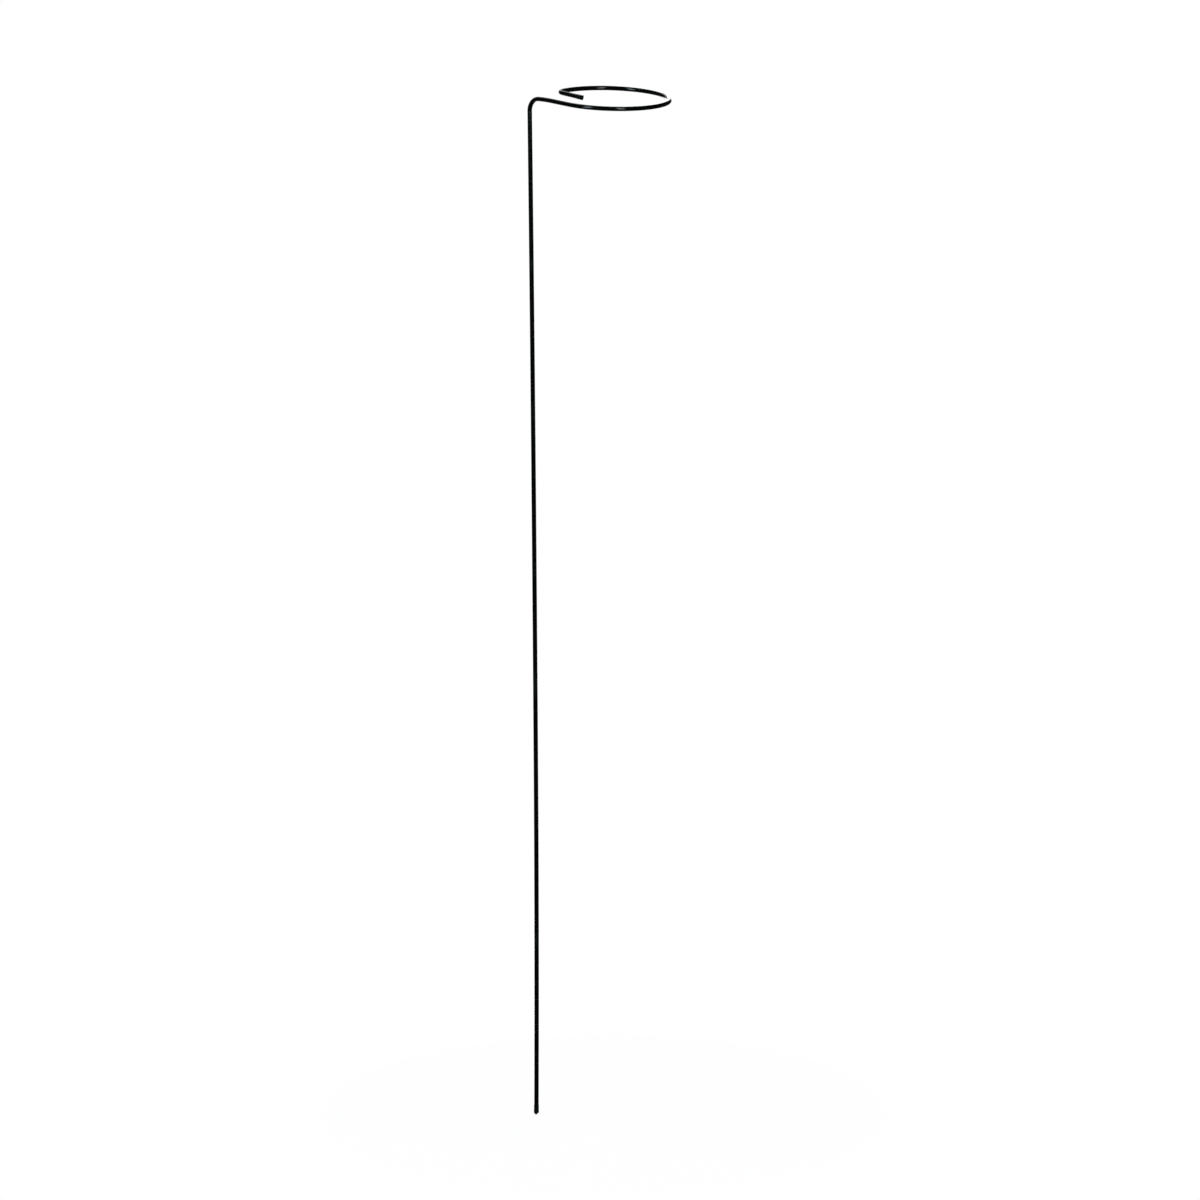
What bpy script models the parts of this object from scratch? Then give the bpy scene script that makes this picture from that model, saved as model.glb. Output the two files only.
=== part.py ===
"""Single-stem plant support: one bent, plastic-coated steel wire with a sealed bead on each cut end.

The wire is a long stake that carries an open ring for the plant's stem. It is bent from the ground up as a
wire bender would do it: feed a straight length, turn the bending plane, bend by an angle at a radius.
Metres, +Z up. The origin is where the stake's blunt end meets the ground, and +X points from the stake to the
ring's centre.
"""
import math

import bpy
from mathutils import Matrix

OBJECT_NAME = "plant_support"

# Overall size. The height is a 36 inch stake, measured to the top of the shoulder.
HEIGHT = 0.9144
WIRE_DIAMETER = 0.0040
CORE_DIAMETER = 0.0030

# The coat is 0.5 mm thick. Half of it is the wall, and half a gap that keeps the wall clear of the core.
SHEATH_WALL = 0.00025

# The stake keeps a slight bow from the coil that its wire came off, in two arcs of unlike curvature.
FOOT_STRAIGHT = 0.004
LOWER_BOW_LENGTH = 0.310
LOWER_BOW_ANGLE = math.radians(0.57)
UPPER_BOW_ANGLE = math.radians(0.31)

# The shoulder turns the stake into the neck: a tight bend that stops short of square, and then an ease that
# passes it, so that the neck and the ring dip away from the stake.
NECK_HEADING = math.radians(-47.0)
SHOULDER_ANGLE = math.radians(86.5)
SHOULDER_RADIUS = 0.0120
EASE_ANGLE = math.radians(5.0)
EASE_LENGTH = 0.016
NECK_LENGTH = 0.0203

# The ring, at the wire's centre. Its plane is turned from the shoulder's, which tips it the same way.
RING_DIAMETER = 0.1020
RING_ANGLE = math.radians(280.0)
RING_PLANE_TURN = math.radians(88.25)

# The tail turns inwards across the ring's mouth and leads the stem in.
TAIL_ANGLE = math.radians(75.5)
TAIL_RADIUS = 0.0085
TAIL_LENGTH = 0.0272

# Each cut end is closed by a blunt bead, slightly thicker than the wire, with a socket for the core's end.
# The gap keeps the bead clear of the coat and of the core.
BEAD_DIAMETER = 0.0044
BEAD_LENGTH = 0.0028
BEAD_EDGE_RADIUS = 0.00045
BEAD_GAP = 0.00025
SOCKET_DIAMETER = 0.0035
SOCKET_DEPTH = 0.0010

# How finely the arcs are stepped, and the tube's and the beads' sides and rounded edges.
RING_STEP = math.radians(4.0)
CORNER_STEP = math.radians(8.0)
BOW_STEPS = 8
EASE_STEPS = 4
TUBE_RESOLUTION = 4
BEAD_SIDES = 24
EDGE_STEPS = 3
MERGE_DISTANCE = 0.00005

STEEL = {"color": (0.47, 0.48, 0.50), "metallic": 1.0, "roughness": 0.35}
COATING = {"color": (0.0035, 0.0075, 0.0070), "metallic": 0.0, "roughness": 0.22}


def clear_scene():
    """Removes every object that the file opens with."""
    for obj in list(bpy.data.objects):
        bpy.data.objects.remove(obj, do_unlink=True)


def new_material(name, look):
    """A Principled material from a colour, a metallic value and a roughness."""
    material = bpy.data.materials.new(name)
    material.use_nodes = True
    shader = material.node_tree.nodes["Principled BSDF"]
    shader.inputs["Base Color"].default_value = (*look["color"], 1.0)
    shader.inputs["Metallic"].default_value = look["metallic"]
    shader.inputs["Roughness"].default_value = look["roughness"]
    return material


def feed(frame, length):
    """Moves along the wire. A frame's +Z is the wire's heading, and its +X the side that it bends to."""
    return frame @ Matrix.Translation((0, 0, length))


def turn_plane(frame, angle):
    """Turns the bending plane about the wire."""
    return frame @ Matrix.Rotation(angle, 4, "Z")


def bend(frame, angle, radius):
    """Bends the wire towards the frame's +X, about a centre that lies one radius to that side."""
    to_centre = Matrix.Translation((radius, 0, 0))
    return frame @ to_centre @ Matrix.Rotation(angle, 4, "Y") @ to_centre.inverted()


def bend_in_steps(frames, angle, radius, steps):
    """Adds the frames of a bend, evenly stepped, to the list of frames."""
    start = frames[-1]
    for step in range(1, steps + 1):
        frames.append(bend(start, angle * step / steps, radius))


def wire_frames(end_gap):
    """Frames along the wire's centre line, for a wire that stops short of both blunt ends by a gap."""
    ease_radius = EASE_LENGTH / EASE_ANGLE
    # The wire is level, and at its highest, where the ease has brought the shoulder to 90 degrees.
    shoulder_rise = SHOULDER_RADIUS * math.sin(SHOULDER_ANGLE) + ease_radius * (1 - math.sin(SHOULDER_ANGLE))
    stake_length = HEIGHT - WIRE_DIAMETER / 2 - shoulder_rise
    upper_bow_length = stake_length - FOOT_STRAIGHT - LOWER_BOW_LENGTH
    # The stake sets off leaning towards the ring, so that both its ends lie on the Z axis.
    lean = (LOWER_BOW_LENGTH * LOWER_BOW_ANGLE / 2
            + upper_bow_length * (LOWER_BOW_ANGLE + UPPER_BOW_ANGLE / 2)) / stake_length
    foot = Matrix.Rotation(lean, 4, "Y") @ Matrix.Rotation(math.pi, 4, "Z")

    frames = [feed(foot, end_gap), feed(foot, FOOT_STRAIGHT)]
    bend_in_steps(frames, LOWER_BOW_ANGLE, LOWER_BOW_LENGTH / LOWER_BOW_ANGLE, BOW_STEPS)
    bend_in_steps(frames, UPPER_BOW_ANGLE, upper_bow_length / UPPER_BOW_ANGLE, BOW_STEPS)

    frames.append(turn_plane(frames.pop(), math.pi + NECK_HEADING))
    bend_in_steps(frames, SHOULDER_ANGLE, SHOULDER_RADIUS, round(SHOULDER_ANGLE / CORNER_STEP))
    bend_in_steps(frames, EASE_ANGLE, ease_radius, EASE_STEPS)
    frames.append(turn_plane(feed(frames[-1], NECK_LENGTH), RING_PLANE_TURN))
    bend_in_steps(frames, RING_ANGLE, RING_DIAMETER / 2, round(RING_ANGLE / RING_STEP))
    bend_in_steps(frames, TAIL_ANGLE, TAIL_RADIUS, round(TAIL_ANGLE / CORNER_STEP))
    frames.append(feed(frames[-1], TAIL_LENGTH - end_gap))
    return frames


def new_tube(name, frames, diameter, material, collection):
    """A round wire along the frames' origins, as a poly curve with filled ends."""
    curve = bpy.data.curves.new(name, "CURVE")
    curve.dimensions = "3D"
    curve.bevel_depth = diameter / 2
    curve.bevel_resolution = TUBE_RESOLUTION
    curve.use_fill_caps = True
    spline = curve.splines.new("POLY")
    spline.points.add(len(frames) - 1)
    for point, frame in zip(spline.points, frames):
        point.co = (*frame.translation, 1.0)
    curve.materials.append(material)
    tube = bpy.data.objects.new(name, curve)
    collection.objects.link(tube)
    return tube


def new_sheath(name, frames, material, collection):
    """The coat: an open tube on the outside, thickened inwards."""
    sheath = new_tube(name, frames, WIRE_DIAMETER, material, collection)
    sheath.data.use_fill_caps = False
    wall = sheath.modifiers.new("wall", "SOLIDIFY")
    wall.thickness = SHEATH_WALL
    wall.offset = -1.0
    wall.use_even_offset = True
    return sheath


def bead_profile():
    """Half section of a bead, from the floor of its socket round its outside to its blunt end."""
    outer = BEAD_DIAMETER / 2
    edge = BEAD_EDGE_RADIUS
    top_edge = (BEAD_DIAMETER - WIRE_DIAMETER) / 2
    points = [
        (0.0, BEAD_LENGTH - SOCKET_DEPTH),
        (SOCKET_DIAMETER / 2, BEAD_LENGTH - SOCKET_DEPTH),
        (SOCKET_DIAMETER / 2, BEAD_LENGTH),
        (outer - top_edge, BEAD_LENGTH),
        (outer, BEAD_LENGTH - top_edge),
    ]
    for step in range(EDGE_STEPS + 1):
        angle = math.pi / 2 * step / EDGE_STEPS
        points.append((outer - edge + edge * math.cos(angle), edge - edge * math.sin(angle)))
    points.append((0.0, 0.0))
    return points


def new_bead(name, place, material, collection):
    """A bead turned about its own Z axis, with its blunt end at its origin and facing down."""
    profile = bead_profile()
    mesh = bpy.data.meshes.new(name)
    mesh.from_pydata([(r, 0, z) for r, z in profile], [(i, i + 1) for i in range(len(profile) - 1)], [])
    mesh.materials.append(material)
    bead = bpy.data.objects.new(name, mesh)
    bead.location = place.translation
    bead.rotation_euler = place.to_euler()
    collection.objects.link(bead)
    turned = bead.modifiers.new("turned", "SCREW")
    turned.steps = BEAD_SIDES
    turned.render_steps = BEAD_SIDES
    turned.use_merge_vertices = True
    turned.merge_threshold = MERGE_DISTANCE
    return bead


def turn_bead(frame):
    """Places a bead so that its blunt end faces the way the wire heads."""
    return frame @ Matrix.Rotation(math.pi, 4, "X")


def main():
    """Builds the four pieces and parents them to one empty."""
    clear_scene()
    collection = bpy.data.collections.new(OBJECT_NAME)
    bpy.context.scene.collection.children.link(collection)
    root = bpy.data.objects.new(OBJECT_NAME, None)
    collection.objects.link(root)

    sheath_end = BEAD_LENGTH + BEAD_GAP
    core_end = BEAD_LENGTH - SOCKET_DEPTH + BEAD_GAP
    tail_tip = wire_frames(0.0)[-1]
    steel = new_material("core_wire", STEEL)
    coat = new_material("plastic_sheath", COATING)
    ground_dip = new_material("ground_end_seal", COATING)
    ring_dip = new_material("ring_end_seal", COATING)
    pieces = [
        new_tube("core_wire", wire_frames(core_end), CORE_DIAMETER, steel, collection),
        new_sheath("plastic_sheath", wire_frames(sheath_end), coat, collection),
        new_bead("ground_end_seal", Matrix.Identity(4), ground_dip, collection),
        new_bead("ring_end_seal", turn_bead(tail_tip), ring_dip, collection),
    ]
    for piece in pieces:
        piece.parent = root


main()
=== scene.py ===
"""Looks of a plant support: a stake bent from one plastic-coated steel wire, with an open ring at its top.

The sections follow the support as it is made: the steel core, the plastic coat that is run on over it, and
the dips of plastic that seal the two cut ends. Metres, +Z up. The origin is the stake's blunt end, and +X
points from the stake to the ring.
"""
import math
from collections import namedtuple

import bmesh
import bpy
from mathutils import Matrix, Vector


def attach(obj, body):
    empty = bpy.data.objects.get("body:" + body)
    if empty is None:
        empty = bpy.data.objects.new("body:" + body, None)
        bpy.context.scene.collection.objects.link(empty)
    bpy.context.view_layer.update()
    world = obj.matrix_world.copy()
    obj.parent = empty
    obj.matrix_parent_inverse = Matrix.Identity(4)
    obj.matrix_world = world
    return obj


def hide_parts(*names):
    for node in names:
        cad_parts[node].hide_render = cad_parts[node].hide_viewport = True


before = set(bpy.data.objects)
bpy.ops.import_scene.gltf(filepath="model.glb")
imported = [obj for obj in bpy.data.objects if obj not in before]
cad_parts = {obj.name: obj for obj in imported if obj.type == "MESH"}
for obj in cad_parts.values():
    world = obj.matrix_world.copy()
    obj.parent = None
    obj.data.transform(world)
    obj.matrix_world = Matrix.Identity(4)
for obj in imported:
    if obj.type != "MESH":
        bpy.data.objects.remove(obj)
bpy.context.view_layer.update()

# Core wire
# Spring-hard steel, drawn bright to 3 mm. It is bent cold in one pass from the foot up, with the coat
# already on it. It gives the support its shape, and none of it shows.
CORE_DIAMETER = 0.0030
CORE_SIDES = 16
CORE_END_GAP = 0.0020
CORE_SHARP_ANGLE = math.radians(40.0)

# The stake is 36 inches tall. It keeps a slight bow from its wire's coil, in two unlike arcs.
HEIGHT = 0.9144
WIRE_DIAMETER = 0.0040
FOOT_STRAIGHT = 0.004
LOWER_BOW_LENGTH = 0.310
LOWER_BOW_ANGLE = math.radians(0.57)
UPPER_BOW_ANGLE = math.radians(0.31)

# The shoulder is bent short of square, and the ease after it passes square, so the neck dips to the ring.
NECK_HEADING = math.radians(-47.0)
SHOULDER_ANGLE = math.radians(86.5)
SHOULDER_RADIUS = 0.0120
EASE_ANGLE = math.radians(5.0)
EASE_LENGTH = 0.016
EASE_RADIUS = EASE_LENGTH / EASE_ANGLE
NECK_LENGTH = 0.0203

# The ring stops short of a full turn, and the tail turns inwards across its mouth.
RING_RADIUS = 0.1020 / 2
RING_ANGLE = math.radians(280.0)
RING_PLANE_TURN = math.radians(88.25)
TAIL_ANGLE = math.radians(75.5)
TAIL_RADIUS = 0.0085
TAIL_LENGTH = 0.0272

# Distances between the rings of vertices: along the stake, round the ring, and in the two tight bends.
STAKE_STEP = 0.0045
RING_STEP = 0.0015
TIGHT_STEP = 0.0005

shoulder_rise = SHOULDER_RADIUS * math.sin(SHOULDER_ANGLE) + EASE_RADIUS * (1 - math.sin(SHOULDER_ANGLE))
stake_length = HEIGHT - WIRE_DIAMETER / 2 - shoulder_rise
upper_bow_length = stake_length - FOOT_STRAIGHT - LOWER_BOW_LENGTH

# The stake sets off leaning towards the ring, so that both its ends lie on the Z axis.
lean = (LOWER_BOW_LENGTH * LOWER_BOW_ANGLE / 2
        + upper_bow_length * (LOWER_BOW_ANGLE + UPPER_BOW_ANGLE / 2)) / stake_length
foot = Matrix.Rotation(lean, 4, "Y") @ Matrix.Rotation(math.pi, 4, "Z")

# What the bender does, in order: ("feed", length, step), ("turn", angle), ("bend", angle, step, radius).
# A step is the distance between rings of vertices, and a bow is a bend with its centre many metres off.
BENDING = [
    ("feed", FOOT_STRAIGHT, STAKE_STEP),
    ("bow", LOWER_BOW_ANGLE, STAKE_STEP, LOWER_BOW_LENGTH / LOWER_BOW_ANGLE),
    ("bow", UPPER_BOW_ANGLE, STAKE_STEP, upper_bow_length / UPPER_BOW_ANGLE),
    ("turn", math.pi + NECK_HEADING),
    ("bend", SHOULDER_ANGLE, TIGHT_STEP, SHOULDER_RADIUS),
    ("bend", EASE_ANGLE, RING_STEP, EASE_RADIUS),
    ("feed", NECK_LENGTH, RING_STEP),
    ("turn", RING_PLANE_TURN),
    ("bend", RING_ANGLE, RING_STEP, RING_RADIUS),
    ("bend", TAIL_ANGLE, TIGHT_STEP, TAIL_RADIUS),
    ("feed", TAIL_LENGTH, RING_STEP),
]

# A ring of vertices: where it lies, how far it is from the foot, and how far the bending plane has turned.
Ring = namedtuple("Ring", "place distance turned")


def edit(piece):
    """Selects one piece and goes into edit mode on it, with nothing selected there."""
    bpy.ops.object.select_all(action="DESELECT")
    piece.select_set(True)
    bpy.context.view_layer.objects.active = piece
    bpy.ops.object.mode_set(mode="EDIT")
    bpy.ops.mesh.select_all(action="DESELECT")


def finish_edit():
    """Leaves edit mode with the faces pointing outwards."""
    bpy.ops.mesh.select_all(action="SELECT")
    bpy.ops.mesh.normals_make_consistent(inside=False)
    bpy.ops.object.mode_set(mode="OBJECT")


def feed(place, length):
    """The place further along a straight wire.

    A place's +Z is the wire's heading, and its +X the side that the wire bends to.
    """
    return place @ Matrix.Translation((0, 0, length))


def bend(place, angle, radius):
    """The place after a bend about a centre that lies one radius to the place's +X."""
    move = Matrix.Translation((radius - radius * math.cos(angle), 0, radius * math.sin(angle)))
    return place @ move @ Matrix.Rotation(angle, 4, "Y")


def add_feed(rings, length, step):
    """Extrudes a wire's open end straight on, and lists its new rings."""
    last = rings[-1]
    steps = max(1, round(length / step))
    for number in range(1, steps + 1):
        bpy.ops.mesh.extrude_region_move(
            TRANSFORM_OT_translate={"value": last.place.col[2].xyz * (length / steps)})
        so_far = length * number / steps
        rings.append(Ring(feed(last.place, so_far), last.distance + so_far, last.turned))


def add_bend(rings, angle, step, radius):
    """Spins a wire's open end through a bend, and lists its new rings."""
    last = rings[-1]
    steps = max(2, round(angle * radius / step))
    # Spin turns against the right-hand rule.
    bpy.ops.mesh.spin(
        steps=steps, angle=-angle, center=last.place @ Vector((radius, 0, 0)), axis=last.place.col[1].xyz)
    for number in range(1, steps + 1):
        so_far = angle * number / steps
        rings.append(Ring(bend(last.place, so_far, radius), last.distance + so_far * radius, last.turned))


def add_bow(rings, angle, step, radius):
    """Extrudes a wire's open end through a slack bend in the XZ plane, and lists its new rings.

    It turns each ring about its own middle, because a spin about so far a centre would lose its precision.
    """
    last = rings[-1]
    steps = round(angle * radius / step)
    for number in range(1, steps + 1):
        so_far = angle * number / steps
        place = bend(last.place, so_far, radius)
        bpy.ops.mesh.extrude_region_move(
            TRANSFORM_OT_translate={"value": place.translation - rings[-1].place.translation})
        # Without a window, rotate turns against the right-hand rule too.
        bpy.ops.transform.rotate(value=angle / steps, orient_axis="Y", center_override=place.translation)
        rings.append(Ring(place, last.distance + so_far * radius, last.turned))


def new_wire(name, diameter, sides, end_gap):
    """A tube that starts as a circle near the foot and goes through the bending, and its rings."""
    start = feed(foot, end_gap)
    bpy.ops.object.select_all(action="DESELECT")
    bpy.ops.mesh.primitive_circle_add(
        vertices=sides, radius=diameter / 2, location=start.translation, rotation=start.to_euler())
    wire = bpy.context.object
    wire.name = wire.data.name = name
    bpy.ops.object.transform_apply(location=True, rotation=True, scale=True)
    edit(wire)
    bpy.ops.mesh.select_all(action="SELECT")

    rings = [Ring(start, end_gap, 0.0)]
    for number, (action, amount, *how) in enumerate(BENDING):
        if action == "turn":
            place, distance, turned = rings[-1]
            rings[-1] = Ring(place @ Matrix.Rotation(amount, 4, "Z"), distance, turned + amount)
        elif action == "bend":
            add_bend(rings, amount, *how)
        elif action == "bow":
            add_bow(rings, amount, *how)
        else:
            at_an_end = number in (0, len(BENDING) - 1)
            add_feed(rings, amount - end_gap if at_an_end else amount, *how)
    finish_edit()
    wire.data.shade_smooth()
    return wire, rings


def keep_straight_places(wire, rings, sides):
    """Stores where each vertex lay before the wire was bent, for patterns that follow the wire."""
    straight = wire.data.attributes.new("straight", "FLOAT_VECTOR", "POINT")
    for vertex in wire.data.vertices:
        ring = rings[vertex.index // sides]
        across = Matrix.Rotation(ring.turned, 3, "Z") @ (ring.place.inverted() @ vertex.co)
        straight.data[vertex.index].vector = (across.x, across.y, ring.distance)


def close_ends(wire):
    """Fills the two open ends of a wire."""
    edit(wire)
    bpy.ops.mesh.select_mode(type="EDGE")
    bpy.ops.mesh.select_non_manifold()
    bpy.ops.mesh.fill_holes(sides=0)
    bpy.ops.mesh.select_mode(type="VERT")
    finish_edit()


def new_node(tree, kind, inputs=None, **settings):
    """A shader node with its settings, and with each input linked to an output or set to a value."""
    made = tree.nodes.new("ShaderNode" + kind)
    for setting, value in settings.items():
        setattr(made, setting, value)
    for socket, value in (inputs or {}).items():
        if isinstance(value, bpy.types.NodeSocket):
            tree.links.new(value, made.inputs[socket])
        else:
            made.inputs[socket].default_value = value
    return made


def math_node(tree, operation, first, second):
    """The result of one sum."""
    return new_node(tree, "Math", {0: first, 1: second}, operation=operation).outputs[0]


def noise(tree, place, size, detail):
    """Noise from 0 to 1 with features of about one size, in metres, which is a number or an output.

    Its detail is how many finer layers it has.
    """
    scale = math_node(tree, "DIVIDE", 1.0, size)
    return new_node(tree, "TexNoise", {"Vector": place, "Scale": scale, "Detail": detail}).outputs[0]


def stretched(tree, place, stretch):
    """A place for a pattern that is drawn out along the wire, which runs along the place's Z."""
    along = math_node(tree, "DIVIDE", 1.0, stretch)
    squeeze = new_node(tree, "CombineXYZ", {"X": 1.0, "Y": 1.0, "Z": along}).outputs[0]
    return new_node(tree, "VectorMath", {0: place, 1: squeeze}, operation="MULTIPLY").outputs[0]


def spread(tree, value, start, end):
    """A value that goes smoothly over the end pair as another goes over the start pair."""
    return new_node(tree, "MapRange", {
        "Value": value, "From Min": start[0], "From Max": start[1], "To Min": end[0], "To Max": end[1],
    }, interpolation_type="SMOOTHSTEP").outputs[0]


def mix_colours(tree, factor, first, second):
    """A colour between two colours."""
    # Of a Mix node's sockets, those for colours are inputs 6 and 7 and output 2.
    made = new_node(tree, "Mix", {"Factor": factor, 6: first, 7: second}, data_type="RGBA")
    return made.outputs[2]


def bump(tree, height, depth, under=None):
    """A normal that shows a height of so many metres, on top of another normal if there is one."""
    inputs = {"Height": height, "Distance": depth, "Strength": 1.0}
    if under:
        inputs["Normal"] = under
    return new_node(tree, "Bump", inputs).outputs[0]


def new_group(name, numbers, output):
    """A shader node group that takes a place and some numbers and puts out one value.

    Gives the group, its inputs as the nodes inside it read them, and the socket that takes the value.
    """
    group = bpy.data.node_groups.new(name, "ShaderNodeTree")
    group.interface.new_socket(name="Place", in_out="INPUT", socket_type="NodeSocketVector")
    for socket, value in numbers.items():
        made = group.interface.new_socket(name=socket, in_out="INPUT", socket_type="NodeSocketFloat")
        made.default_value = value
    group.interface.new_socket(name=output, in_out="OUTPUT", socket_type="NodeSocketFloat")
    given = group.nodes.new("NodeGroupInput").outputs
    return group, given, group.nodes.new("NodeGroupOutput").inputs[output]


def placed(tree, group, **inputs):
    """The output of a group that is placed in a material with its own values."""
    sockets = {name.capitalize(): value for name, value in inputs.items()}
    return new_node(tree, "Group", sockets, node_tree=group).outputs[0]


def new_material(name, **constants):
    """A material, its node tree and its Principled shader, with the shader's constants set."""
    material = bpy.data.materials.new(name)
    material.use_nodes = True
    shader = material.node_tree.nodes["Principled BSDF"]
    for socket, value in constants.items():
        shader.inputs[socket].default_value = value
    return material, material.node_tree, shader


def straight_place(tree):
    """The place on the wire as it was before it was bent."""
    return new_node(tree, "Attribute", attribute_name="straight").outputs["Vector"]


# Most of a noise's values lie between these two.
NOISE_SWING = (0.28, 0.72)

# Lines that a drawing or an extruding die leaves along a wire: how far apart, and how many times as long.
LINE_DETAIL = 2.0
drawn_lines, given, lines = new_group("drawn lines", {"Pitch": 0.0002, "Stretch": 60.0}, "Lines")
drawn_out = stretched(drawn_lines, given["Place"], given["Stretch"])
drawn_lines.links.new(noise(drawn_lines, drawn_out, given["Pitch"], LINE_DETAIL), lines)

STEEL_DULL = (0.38, 0.39, 0.41, 1.0)
STEEL_BRIGHT = (0.56, 0.57, 0.59, 1.0)
STEEL_ROUGHNESS = (0.38, 0.24)
STEEL_LINE_PITCH = 0.00012
STEEL_LINE_STRETCH = 80.0
STEEL_LINE_DEPTH = 0.000003

steel, tree, shader = new_material("bright_drawn_steel", Metallic=1.0)
steel_lines = placed(
    tree, drawn_lines, place=straight_place(tree), pitch=STEEL_LINE_PITCH, stretch=STEEL_LINE_STRETCH)
tree.links.new(mix_colours(tree, steel_lines, STEEL_DULL, STEEL_BRIGHT), shader.inputs["Base Color"])
tree.links.new(spread(tree, steel_lines, NOISE_SWING, STEEL_ROUGHNESS), shader.inputs["Roughness"])
tree.links.new(bump(tree, steel_lines, STEEL_LINE_DEPTH), shader.inputs["Normal"])

core, core_rings = new_wire("drawn_core", CORE_DIAMETER, CORE_SIDES, CORE_END_GAP)
keep_straight_places(core, core_rings, CORE_SIDES)
close_ends(core)
bpy.ops.object.shade_smooth_by_angle(angle=CORE_SHARP_ANGLE)
core.data.materials.append(steel)
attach(core, "root")
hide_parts("core_wire")

# Coat
# Soft PVC, run on hot over the core before bending, 0.5 mm thick and near black with a green cast. It is
# glossy, and it carries the die's fine lines, an uneven skin, and the marks of the bender's two pins.
COAT_SIDES = 32
COAT_END_GAP = 0.0024
COAT_WAVE = 0.00005
COAT_WAVE_LENGTH = 0.020

# The wall stops 0.02 mm short of the core.
COAT_WALL = 0.00048

# The pins press the coat flat on the inner side of the two tight bends, and it gathers there in folds. The
# sides are how far from the wire's middle the marks and the folds start, as a share of its radius.
PIN_MARK_SIDE = 0.80
PIN_MARK_DEPTH = 0.00006
FOLD_SIDE = 0.45
FOLD_DEPTH = 0.00002
RINGS_PER_FOLD = 4

PLASTIC_IOR = 1.5
COAT_CLEAN = (0.0007, 0.0014, 0.0014, 1.0)
COAT_RUBBED = (0.0022, 0.0040, 0.0038, 1.0)
COAT_ROUGHNESS = (0.09, 0.13)
COAT_DULLING = 0.12
COAT_LINE_PITCH = 0.00035
COAT_LINE_STRETCH = 60.0
COAT_LINE_DEPTH = 0.000001
SKIN_SIZE = 0.0008
SKIN_DEPTH = 0.000003
SKIN_DETAIL = 1.0
COAT_MARK_SPACING = 0.014
COAT_MARK_AMOUNT = 0.25

# Rubbed patches are longer along the wire than across it. A fine noise breaks up their edges, and an amount
# of 0 leaves none of them.
MARK_STRETCH = 3.3
MARK_DETAIL = 3.0
MARK_FINE_DETAIL = 2.0
MARK_FINE_SIZE = 0.06
MARK_FINE_SHARE = 0.15
MARK_EDGE_AT_NONE = 0.75
MARK_EDGE_FALL = 0.5
MARK_EDGE_WIDTH = 0.12


def select_side(wire, rings, sides, stretches, least_across):
    """Selects a wire's inner side, past a distance across it, on each stretch from near to far."""
    mesh = bmesh.from_edit_mesh(wire.data)
    for vertex in mesh.verts:
        ring = rings[vertex.index // sides]
        across = (ring.place.inverted() @ vertex.co).x
        on_stretch = any(near < ring.distance < far for near, far in stretches)
        vertex.select = on_stretch and across > least_across
    mesh.select_flush(True)
    bmesh.update_edit_mesh(wire.data)


def apply_modifier(piece, kind, **settings):
    """Adds a modifier to a piece and applies it."""
    modifier = piece.modifiers.new(kind.lower(), kind)
    for setting, value in settings.items():
        setattr(modifier, setting, value)
    bpy.context.view_layer.objects.active = piece
    bpy.ops.object.modifier_apply(modifier=modifier.name)


def make_uneven(piece, height, size):
    """Moves a piece's surface in and out in slow waves, as plastic that set while it was soft."""
    waves = bpy.data.textures.new(piece.name + "_waves", "CLOUDS")
    waves.noise_scale = size
    waves.noise_depth = 1
    apply_modifier(piece, "DISPLACE", texture=waves, strength=height, mid_level=0.5)


# Patches where hands, soil and storage have rubbed the gloss off.
rub_marks, given, marks = new_group("rub marks", {"Spacing": 0.01, "Amount": 0.3}, "Marks")
long_place = stretched(rub_marks, given["Place"], MARK_STRETCH)
patches = noise(rub_marks, long_place, given["Spacing"], MARK_DETAIL)
fine_size = math_node(rub_marks, "MULTIPLY", given["Spacing"], MARK_FINE_SIZE)
fine = noise(rub_marks, long_place, fine_size, MARK_FINE_DETAIL)
rubbed = math_node(rub_marks, "ADD", patches, math_node(rub_marks, "MULTIPLY", fine, MARK_FINE_SHARE))
fall = math_node(rub_marks, "MULTIPLY", given["Amount"], MARK_EDGE_FALL)
edge = math_node(rub_marks, "SUBTRACT", MARK_EDGE_AT_NONE, fall)
full = math_node(rub_marks, "ADD", edge, MARK_EDGE_WIDTH)
rub_marks.links.new(spread(rub_marks, rubbed, (edge, full), (0.0, 1.0)), marks)

coat_plastic, tree, shader = new_material("green_black_coat", IOR=PLASTIC_IOR)
along = straight_place(tree)
coat_lines = placed(tree, drawn_lines, place=along, pitch=COAT_LINE_PITCH, stretch=COAT_LINE_STRETCH)
coat_marks = placed(tree, rub_marks, place=along, spacing=COAT_MARK_SPACING, amount=COAT_MARK_AMOUNT)
skin = noise(tree, along, SKIN_SIZE, SKIN_DETAIL)
gloss = spread(tree, skin, NOISE_SWING, COAT_ROUGHNESS)
dulled = math_node(tree, "ADD", gloss, math_node(tree, "MULTIPLY", coat_marks, COAT_DULLING))
tree.links.new(mix_colours(tree, coat_marks, COAT_CLEAN, COAT_RUBBED), shader.inputs["Base Color"])
tree.links.new(dulled, shader.inputs["Roughness"])
tree.links.new(
    bump(tree, skin, SKIN_DEPTH, under=bump(tree, coat_lines, COAT_LINE_DEPTH)), shader.inputs["Normal"])

coat, coat_rings = new_wire("plastic_coat", WIRE_DIAMETER, COAT_SIDES, COAT_END_GAP)
keep_straight_places(coat, coat_rings, COAT_SIDES)

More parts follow.
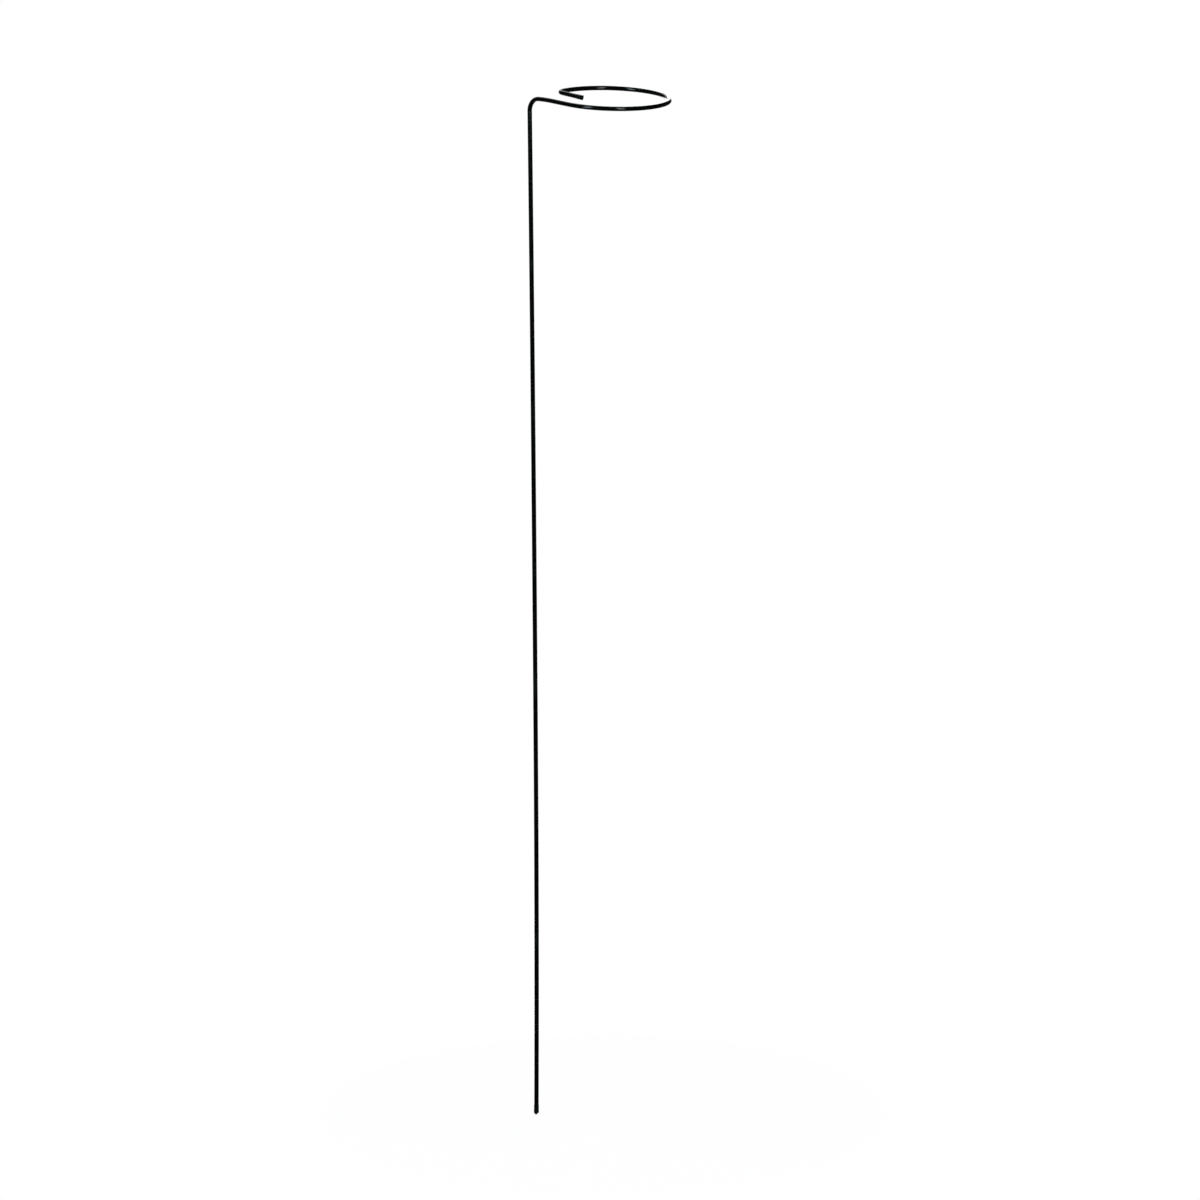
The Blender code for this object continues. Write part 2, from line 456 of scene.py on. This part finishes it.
tail_start = coat_rings[-1].distance + COAT_END_GAP - TAIL_LENGTH
tight_bends = [
    (stake_length, stake_length + SHOULDER_ANGLE * SHOULDER_RADIUS),
    (tail_start - TAIL_ANGLE * TAIL_RADIUS, tail_start),
]
folds = []
for near, far in tight_bends:
    bent = [ring.distance for ring in coat_rings if near < ring.distance < far]
    folds += [(crest - TIGHT_STEP / 2, crest + TIGHT_STEP / 2) for crest in bent[::RINGS_PER_FOLD]]
edit(coat)
select_side(coat, coat_rings, COAT_SIDES, tight_bends, PIN_MARK_SIDE * WIRE_DIAMETER / 2)
bpy.ops.transform.shrink_fatten(value=-PIN_MARK_DEPTH)
select_side(coat, coat_rings, COAT_SIDES, folds, FOLD_SIDE * WIRE_DIAMETER / 2)
bpy.ops.transform.shrink_fatten(value=FOLD_DEPTH)
finish_edit()

make_uneven(coat, COAT_WAVE, COAT_WAVE_LENGTH)
apply_modifier(coat, "SOLIDIFY", thickness=COAT_WALL, offset=-1.0, use_even_offset=True)
coat.data.materials.append(coat_plastic)
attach(coat, "root")
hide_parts("plastic_sheath")

# Sealed ends
# The wire is cropped between two blades, which squeeze it wider and leave a blunt wedge on each end. The
# ends are then dipped in the coat's plastic, which rounds the wedge and laps over the coat.
BEAD_DIAMETER = 0.00438
BEAD_LIP_DIAMETER = 0.00416
BEAD_BODY = 0.0074
BEAD_LENGTH = 0.0090
BEAD_SIDES = 32
GROUND_FLARE = 0.0050
RING_FLARE = 0.0044
FLARE_LENGTH = 0.0030

# The wedge's crest lies off the middle, and its faces towards -X and +X are cut back from square by these
# angles. On the ring's end the wedge is also turned about the wire.
CREST_OFFSET = 0.00055
CROP_ANGLES = {-1: math.radians(31.0), 1: math.radians(43.0)}
CROP_EDGE = 0.00008
CROP_EDGE_STEPS = 3
LEAST_EDGE_ANGLE = math.radians(18.0)
RING_END_TURN = math.radians(194.0)

COAT_SEAT_DIAMETER = 0.00408
COAT_SEAT_DEPTH = 0.0067
CORE_SEAT_DIAMETER = 0.0031
CORE_SEAT_DEPTH = 0.0005
BEAD_WAVE = 0.00005
BEAD_WAVE_LENGTH = 0.0016

# The cosine of the widest angle at which a face still counts as facing a direction.
SAME_WAY = 0.99

DIP_CLEAN = (0.0008, 0.0016, 0.0016, 1.0)
DIP_RUBBED = (0.0024, 0.0043, 0.0041, 1.0)
DIP_ROUGHNESS = (0.12, 0.22)
DIP_SKIN_SIZE = 0.0005
DIP_SKIN_DEPTH = 0.000008
DIP_SKIN_DETAIL = 2.0
DIP_MARK_SPACING = 0.004
DIP_MARK_AMOUNT = 0.5


def select_facing(piece, direction):
    """Selects the faces of a piece in edit mode that face a direction, and no others."""
    bpy.ops.mesh.select_all(action="DESELECT")
    mesh = bmesh.from_edit_mesh(piece.data)
    for face in mesh.faces:
        face.select = face.normal.dot(direction) > SAME_WAY
    bmesh.update_edit_mesh(piece.data)


def extrude_end(move, widen, middle):
    """Extrudes the selected end face by a move, and widens it so many times about its new middle."""
    bpy.ops.mesh.extrude_region_move(TRANSFORM_OT_translate={"value": move})
    bpy.ops.transform.resize(value=(widen, widen, widen), center_override=middle)


def sink_seat(into, rim_diameter, diameter, depth):
    """Insets the selected end face to a seat's diameter and sinks it."""
    bpy.ops.mesh.inset(thickness=(rim_diameter - diameter) / 2)
    bpy.ops.mesh.extrude_region_move(TRANSFORM_OT_translate={"value": -into * depth})


def new_bead(name, place, flare):
    """A bead that widens to a flare at its crest.

    The crest is at a place and runs along its Y axis, and the place's +Z points into the wire.
    """
    into = place.col[2].xyz.normalized()
    bpy.ops.object.select_all(action="DESELECT")
    bpy.ops.mesh.primitive_cylinder_add(
        vertices=BEAD_SIDES, radius=BEAD_DIAMETER / 2, depth=BEAD_BODY - FLARE_LENGTH,
        location=feed(place, (BEAD_BODY + FLARE_LENGTH) / 2).translation, rotation=place.to_euler())
    bead = bpy.context.object
    bead.name = bead.data.name = name
    bpy.ops.object.transform_apply(location=True, rotation=True, scale=True)

    # Towards the cut the bead flares.
    edit(bead)
    bpy.ops.mesh.select_mode(type="FACE")
    select_facing(bead, -into)
    extrude_end(-into * FLARE_LENGTH, flare / BEAD_DIAMETER, place.translation)

    # The other way it thins to a lip, and inside it are the seats for the coat and the core.
    select_facing(bead, into)
    lip = feed(place, BEAD_LENGTH).translation
    extrude_end(into * (BEAD_LENGTH - BEAD_BODY), BEAD_LIP_DIAMETER / BEAD_DIAMETER, lip)
    sink_seat(into, BEAD_LIP_DIAMETER, COAT_SEAT_DIAMETER, COAT_SEAT_DEPTH)
    sink_seat(into, COAT_SEAT_DIAMETER, CORE_SEAT_DIAMETER, CORE_SEAT_DEPTH)

    # The two blades.
    crest = place @ Vector((CREST_OFFSET, 0.0, 0.0))
    for side, angle in CROP_ANGLES.items():
        blade = place.to_3x3() @ Vector((side * math.sin(angle), 0.0, -math.cos(angle)))
        bpy.ops.mesh.select_all(action="SELECT")
        bpy.ops.mesh.bisect(plane_co=crest, plane_no=blade, use_fill=True, clear_outer=True)

    # The dip rounds the edges that the blades left.
    bpy.ops.mesh.select_mode(type="EDGE")
    bpy.ops.mesh.select_all(action="DESELECT")
    mesh = bmesh.from_edit_mesh(bead.data)
    for border in mesh.edges:
        middle = place.inverted() @ ((border.verts[0].co + border.verts[1].co) / 2)
        border.select = middle.z < BEAD_DIAMETER / 2 and border.calc_face_angle(0.0) > LEAST_EDGE_ANGLE
    bmesh.update_edit_mesh(bead.data)
    bpy.ops.mesh.bevel(offset=CROP_EDGE, segments=CROP_EDGE_STEPS, affect="EDGES")
    bpy.ops.mesh.select_mode(type="VERT")
    finish_edit()
    apply_modifier(bead, "SUBSURF", levels=1, render_levels=1)
    make_uneven(bead, BEAD_WAVE, BEAD_WAVE_LENGTH)
    bpy.ops.object.shade_smooth()
    return bead


dip_plastic, tree, shader = new_material("dipped_seal", IOR=PLASTIC_IOR)
on_piece = new_node(tree, "TexCoord").outputs["Object"]
dip_marks = placed(tree, rub_marks, place=on_piece, spacing=DIP_MARK_SPACING, amount=DIP_MARK_AMOUNT)
dip_skin = noise(tree, on_piece, DIP_SKIN_SIZE, DIP_SKIN_DETAIL)
tree.links.new(mix_colours(tree, dip_marks, DIP_CLEAN, DIP_RUBBED), shader.inputs["Base Color"])
tree.links.new(spread(tree, dip_marks, (0.0, 1.0), DIP_ROUGHNESS), shader.inputs["Roughness"])
tree.links.new(bump(tree, dip_skin, DIP_SKIN_DEPTH), shader.inputs["Normal"])

wire_end = feed(coat_rings[-1].place, COAT_END_GAP)
ring_end = wire_end @ Matrix.Rotation(math.pi, 4, "X") @ Matrix.Rotation(RING_END_TURN, 4, "Z")
for name, end, flare, node in [
    ("ground_end_bead", foot, GROUND_FLARE, "ground_end_seal"),
    ("ring_end_bead", ring_end, RING_FLARE, "ring_end_seal"),
]:
    bead = new_bead(name, end, flare)
    bead.data.materials.append(dip_plastic)
    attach(bead, "root")
    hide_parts(node)

# Studio
# A dark room, with a white paper sweep behind the object and a pale round floor. Two tall soft lamps stand
# in front, one on either side. Two small ones behind light the ring's right end with narrow beams.
FLOOR_CENTRE = (0.060, 0.0, 0.0)
FLOOR_RADIUS = 0.25
FLOOR_SIDES = 96
FLOOR_COLOUR = (0.93, 0.93, 0.93, 1.0)
FLOOR_ROUGHNESS = 0.9
FLOOR_SELF_LIT = 0.90

# Where the sweep lies behind the ring, how far it reaches to either side, and how high: in each pair, the
# first is where it has gone dark, and the second where it is still white.
SWEEP_AZIMUTH = math.radians(-11.0)
SWEEP_HALF_WIDTH = (math.radians(26.0), math.radians(16.0))
SWEEP_TOP = (math.sin(math.radians(62.0)), math.sin(math.radians(48.0)))

# How bright the room looks in gloss and glass, and how much light it gives all round.
ROOM_LEVEL = 0.01
FILL_LEVEL = 0.85
WHITE = (1.0, 1.0, 1.0, 1.0)

LAMP_SIDES = {"left_lamp": math.radians(-45.2), "right_lamp": math.radians(19.3)}
LAMP_TINTS = {"left_lamp": (0.72, 0.95, 1.00), "right_lamp": (0.88, 0.94, 1.00)}
LAMP_DISTANCE = 2.0
LAMP_MIDDLE = Vector((0.07, 0.0, 1.98))
LAMP_SIZE = (0.45, 2.84)
LAMP_RADIANCE = 4.0

RING_RIGHT_END = Vector((0.121, 0.0, 0.905))
END_LAMP_PLACES = {"end_lamp": Vector((0.101, 0.150, 0.915)), "end_fill": Vector((0.146, 0.150, 0.915))}
END_LAMP_RADIANCE = {"end_lamp": 0.45, "end_fill": 0.14}
END_LAMP_SIZE = (0.044, 0.140)
END_LAMP_BEAM = math.radians(60.0)


def mirrored_rays(tree):
    """The camera's own rays, and those that reach something by way of gloss or glass."""
    path = new_node(tree, "LightPath").outputs
    mirrored = math_node(tree, "MAXIMUM", path["Is Glossy Ray"], path["Is Transmission Ray"])
    return path["Is Camera Ray"], mirrored


def add_lamp(name, place, target, size, radiance, tint=(1.0, 1.0, 1.0), beam=math.pi):
    """A rectangular lamp that points at a target. The camera doesn't see it."""
    light = bpy.data.lights.new(name, "AREA")
    light.shape = "RECTANGLE"
    light.size, light.size_y = size
    light.energy = radiance * math.pi * size[0] * size[1]
    light.color = tint
    light.spread = beam
    lamp = bpy.data.objects.new(name, light)
    bpy.context.scene.collection.objects.link(lamp)
    lamp.location = place
    lamp.rotation_euler = (place - target).to_track_quat("Z", "Y").to_euler()
    lamp.visible_camera = False
    return lamp


bpy.ops.object.select_all(action="DESELECT")
bpy.ops.mesh.primitive_circle_add(
    vertices=FLOOR_SIDES, radius=FLOOR_RADIUS, fill_type="NGON", location=FLOOR_CENTRE)
floor = bpy.context.object
floor.name = "floor"
floor_paint, tree, shader = new_material("floor_paint", Roughness=FLOOR_ROUGHNESS)
shader.inputs["Base Color"].default_value = FLOOR_COLOUR
from_camera, mirrored = mirrored_rays(tree)
glow = new_node(tree, "Emission", {"Strength": 1.0}).outputs[0]
self_lit = math_node(tree, "MULTIPLY", from_camera, FLOOR_SELF_LIT)
lit = new_node(tree, "MixShader", {0: self_lit, 1: shader.outputs[0], 2: glow}).outputs[0]
# Gloss and glass see the same sweep and room through the floor as they do beside it.
clear = new_node(tree, "BsdfTransparent").outputs[0]
shown = new_node(tree, "MixShader", {0: mirrored, 1: lit, 2: clear}).outputs[0]
tree.links.new(shown, tree.nodes["Material Output"].inputs["Surface"])
floor.data.materials.append(floor_paint)

world = bpy.data.worlds.new("studio")
world.use_nodes = True
bpy.context.scene.world = world
tree = world.node_tree
tree.nodes.clear()
direction = new_node(tree, "TexCoord").outputs["Generated"]
parts = new_node(tree, "SeparateXYZ", {0: direction}).outputs
azimuth = math_node(tree, "ARCTAN2", parts["X"], parts["Y"])
from_middle = math_node(tree, "ABSOLUTE", math_node(tree, "SUBTRACT", azimuth, SWEEP_AZIMUTH), 0.0)
in_width = spread(tree, from_middle, SWEEP_HALF_WIDTH, (0.0, 1.0))
in_height = spread(tree, parts["Z"], SWEEP_TOP, (0.0, 1.0))
sweep = math_node(tree, "MULTIPLY", in_width, in_height)
from_camera, mirrored = mirrored_rays(tree)
seen = math_node(tree, "MAXIMUM", from_camera, mirrored)
level = math_node(tree, "MAXIMUM", from_camera, math_node(tree, "MAXIMUM", sweep, ROOM_LEVEL))
fill = new_node(tree, "Background", {"Color": WHITE, "Strength": FILL_LEVEL}).outputs[0]
backdrop = new_node(tree, "Background", {"Color": WHITE, "Strength": level}).outputs[0]
sky = new_node(tree, "MixShader", {0: seen, 1: fill, 2: backdrop}).outputs[0]
tree.links.new(sky, new_node(tree, "OutputWorld").inputs["Surface"])

for name, side in LAMP_SIDES.items():
    aside = Vector((math.sin(side), -math.cos(side), 0.0)) * LAMP_DISTANCE
    add_lamp(name, LAMP_MIDDLE + aside, LAMP_MIDDLE, LAMP_SIZE, LAMP_RADIANCE, tint=LAMP_TINTS[name])
for name, spot in END_LAMP_PLACES.items():
    end_lamp = add_lamp(
        name, spot, RING_RIGHT_END, END_LAMP_SIZE, END_LAMP_RADIANCE[name], beam=END_LAMP_BEAM)
    end_lamp.visible_diffuse = False

# Camera
# Far off with a long lens, slightly to the left of the object, and looking down at it by 13 degrees. It is
# rolled a little, because the stake leans in the photo.
CAMERA_AZIMUTH = math.radians(-1.19)
CAMERA_ELEVATION = math.radians(13.3)
CAMERA_ROLL = math.radians(-0.284)
CAMERA_TARGET = Vector((0.05852, 0.0, 0.46651))
CAMERA_DISTANCE = 8.0
CAMERA_REACH = 50.0
IMAGE_WIDTH = 1200
FOCAL_PIXELS = 9164.6
SENSOR_WIDTH = 36.0

view = bpy.data.cameras.new("photo_camera")
view.sensor_width = SENSOR_WIDTH
view.lens = SENSOR_WIDTH * FOCAL_PIXELS / IMAGE_WIDTH
view.clip_end = CAMERA_REACH
camera = bpy.data.objects.new("photo_camera", view)
bpy.context.scene.collection.objects.link(camera)
camera.rotation_euler = (math.pi / 2 - CAMERA_ELEVATION, 0.0, CAMERA_AZIMUTH)
bpy.context.view_layer.update()
camera.location = CAMERA_TARGET + camera.matrix_world.to_3x3() @ Vector((0.0, 0.0, CAMERA_DISTANCE))
camera.rotation_euler.rotate_axis("Z", CAMERA_ROLL)
bpy.context.scene.camera = camera
bpy.context.scene.view_settings.view_transform = "Standard"
